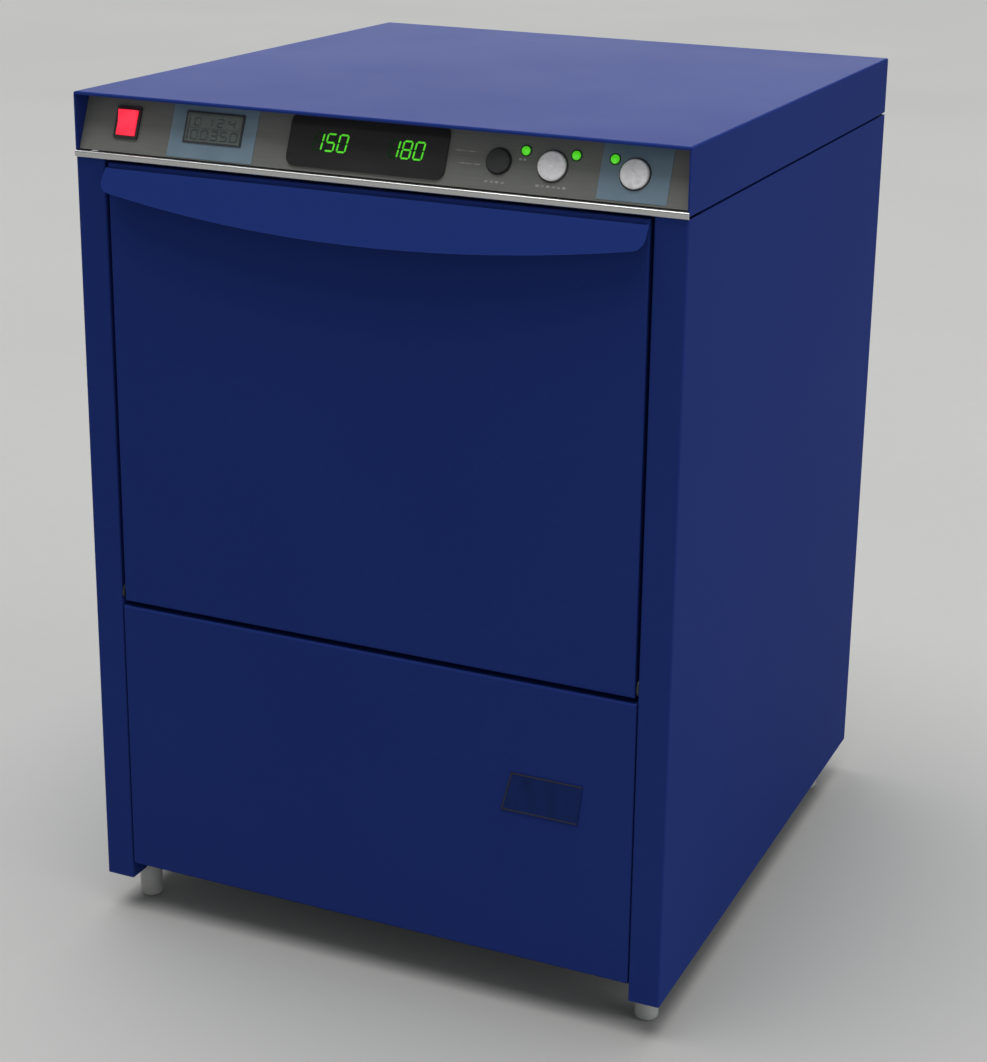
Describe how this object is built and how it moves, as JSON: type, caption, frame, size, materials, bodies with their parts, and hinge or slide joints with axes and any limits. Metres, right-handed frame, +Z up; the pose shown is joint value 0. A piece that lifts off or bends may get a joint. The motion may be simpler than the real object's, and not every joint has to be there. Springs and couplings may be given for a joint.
{
  "type": "glass washer machine",
  "caption": "Under-counter commercial glass washer: box cabinet on bullet feet, drop-down door with full-width lip handle, sloping control panel, wash chamber with spinning spray arms.",
  "frame": {"origin": "on the floor, under the middle of the machine's whole outline", "axes": "+Z up, -Y out of the front door, +X towards the machine's right-hand side as seen from the front"},
  "size_m": [0.61, 0.6685, 0.85],
  "materials": {
    "blue_paint": "smooth glossy dark blue powder coat, fine orange peel",
    "blue_plate": "satin dark blue, low relief",
    "stainless": "brushed stainless steel, fine grain",
    "galvanised": "dull zinc-coated sheet",
    "bright_trim": "bright brushed trim",
    "fascia_grey": "matte olive-grey anodised panel",
    "overlay_foil": "blue-grey printed foil",
    "lcd_glass": "grey-green reflective display",
    "dark_lens": "near-black glossy lens",
    "black_plastic": "moulded black plastic",
    "button_metal": "satin nickel button caps",
    "dark_button": "charcoal soft-touch button",
    "red_rocker": "translucent red, lit",
    "green_lamp": "translucent green, lit",
    "board_green": "circuit board",
    "grey_plastic": "light grey moulded plastic",
    "rubber": "black rubber",
    "hose_rubber": "black reinforced hose",
    "nylon": "natural nylon",
    "spring_steel": "oiled spring wire",
    "arm_plastic": "blue-grey glass-filled plastic",
    "pump_plastic": "black glass-filled plastic",
    "motor_paint": "grey painted die-cast motor can",
    "brass": "machined brass",
    "magnet": "nickel-plated magnet"
  },
  "bodies": {
    "cabinet": {"left_side_panel": "blue_paint", "right_side_panel": "blue_paint", "top_cover": "blue_paint", "rear_panel": "galvanised", "service_plate": "galvanised", "base_frame": "galvanised", "lower_front_panel": "blue_paint", "name_plate": "blue_plate", "cabinet_screws": "stainless", "fascia_trim": "bright_trim", "control_fascia": "fascia_grey", "fascia_overlays": "overlay_foil", "counter_window": "lcd_glass", "display_lens": "dark_lens", "control_board": "board_green", "power_switch_frame": "black_plastic", "button_switches": "black_plastic", "indicator_lamps": "green_lamp", "hinge_bushes": "black_plastic", "door_springs": "spring_steel", "door_seal": "rubber", "door_switch": "black_plastic", "wash_tank": "stainless", "tank_strainer": "stainless", "rack_guides": "stainless", "heating_element": "stainless", "feed_pipes": "stainless", "spindle_nuts": "arm_plastic", "pump_motor": "motor_paint", "pump_volute": "pump_plastic", "wash_hoses": "hose_rubber", "drain_hose": "hose_rubber", "drain_spigot": "grey_plastic", "water_valve": "brass", "cable_gland": "black_plastic", "rinse_booster": "stainless", "rinse_pipe": "stainless", "dosing_pumps": "grey_plastic", "contactor": "black_plastic"},
    "door": {"door_outer_panel": "blue_paint", "door_liner": "stainless", "door_handle": "blue_paint", "hinge_arms": "stainless", "door_magnet": "magnet"},
    "rocker": {"power_rocker": "red_rocker"},
    "drain_button": {"drain_button": "dark_button"},
    "cycle_button": {"cycle_button": "button_metal"},
    "start_button": {"start_button": "button_metal"},
    "lower_wash_arm": {"lower_wash_arm": "arm_plastic"},
    "lower_rinse_arm": {"lower_rinse_arm": "arm_plastic"},
    "upper_wash_arm": {"upper_wash_arm": "arm_plastic"},
    "upper_rinse_arm": {"upper_rinse_arm": "arm_plastic"},
    "standpipe": {"overflow_standpipe": "arm_plastic"},
    "front_left_foot": {"front_left_foot": "grey_plastic"},
    "front_right_foot": {"front_right_foot": "grey_plastic"},
    "rear_left_foot": {"rear_left_foot": "grey_plastic"},
    "rear_right_foot": {"rear_right_foot": "grey_plastic"},
    "pump_rotor": {"pump_rotor": "stainless"},
    "detergent_rotor": {"detergent_rotor": "nylon"},
    "rinse_aid_rotor": {"rinse_aid_rotor": "nylon"}
  },
  "joints": [
    {"name": "door_hinge", "type": "hinge", "parent": "cabinet", "child": "door", "pos_m": [0, -0.29725, 0.3545], "axis": [1, 0, 0], "range_deg": [0, 90], "stiffness_Nm_per_rad": 7, "springref_deg": -20.05, "deforming": ["door_springs"]},
    {"name": "rocker_tilt", "type": "hinge", "parent": "cabinet", "child": "rocker", "pos_m": [-0.255, -0.2932, 0.82235], "axis": [1, 0, 0], "range_deg": [-14, 0]},
    {"name": "drain_button_press", "type": "slide", "parent": "cabinet", "child": "drain_button", "axis": [0, 0.9272, -0.3746], "range_m": [0, 0.002], "stiffness_N_per_m": 500, "springref_m": -0.0004},
    {"name": "cycle_button_press", "type": "slide", "parent": "cabinet", "child": "cycle_button", "axis": [0, 0.9272, -0.3746], "range_m": [0, 0.002], "stiffness_N_per_m": 500, "springref_m": -0.0004},
    {"name": "start_button_press", "type": "slide", "parent": "cabinet", "child": "start_button", "axis": [0, 0.9272, -0.3746], "range_m": [0, 0.002], "stiffness_N_per_m": 500, "springref_m": -0.0004},
    {"name": "lower_wash_arm_spin", "type": "hinge", "parent": "cabinet", "child": "lower_wash_arm", "pos_m": [0, 0, 0.4], "axis": [0, 0, 1], "continuous": true},
    {"name": "lower_rinse_arm_spin", "type": "hinge", "parent": "cabinet", "child": "lower_rinse_arm", "pos_m": [0, 0, 0.4], "axis": [0, 0, 1], "continuous": true},
    {"name": "upper_wash_arm_spin", "type": "hinge", "parent": "cabinet", "child": "upper_wash_arm", "pos_m": [0, 0, 0.75], "axis": [0, 0, 1], "continuous": true},
    {"name": "upper_rinse_arm_spin", "type": "hinge", "parent": "cabinet", "child": "upper_rinse_arm", "pos_m": [0, 0, 0.75], "axis": [0, 0, 1], "continuous": true},
    {"name": "standpipe_lift", "type": "slide", "parent": "cabinet", "child": "standpipe", "axis": [0, 0, 1], "range_m": [0, 0.045]},
    {"name": "front_left_foot_level", "type": "slide", "parent": "cabinet", "child": "front_left_foot", "axis": [0, 0, -1], "range_m": [0, 0.02]},
    {"name": "front_right_foot_level", "type": "slide", "parent": "cabinet", "child": "front_right_foot", "axis": [0, 0, -1], "range_m": [0, 0.02]},
    {"name": "rear_left_foot_level", "type": "slide", "parent": "cabinet", "child": "rear_left_foot", "axis": [0, 0, -1], "range_m": [0, 0.02]},
    {"name": "rear_right_foot_level", "type": "slide", "parent": "cabinet", "child": "rear_right_foot", "axis": [0, 0, -1], "range_m": [0, 0.02]},
    {"name": "pump_spin", "type": "hinge", "parent": "cabinet", "child": "pump_rotor", "pos_m": [0, -0.045, 0.13], "axis": [1, 0, 0], "continuous": true},
    {"name": "detergent_dose", "type": "hinge", "parent": "cabinet", "child": "detergent_rotor", "pos_m": [-0.235, -0.25725, 0.118], "axis": [0, 1, 0], "continuous": true},
    {"name": "rinse_aid_dose", "type": "hinge", "parent": "cabinet", "child": "rinse_aid_rotor", "pos_m": [-0.16, -0.25725, 0.118], "axis": [0, 1, 0], "continuous": true}
  ]
}
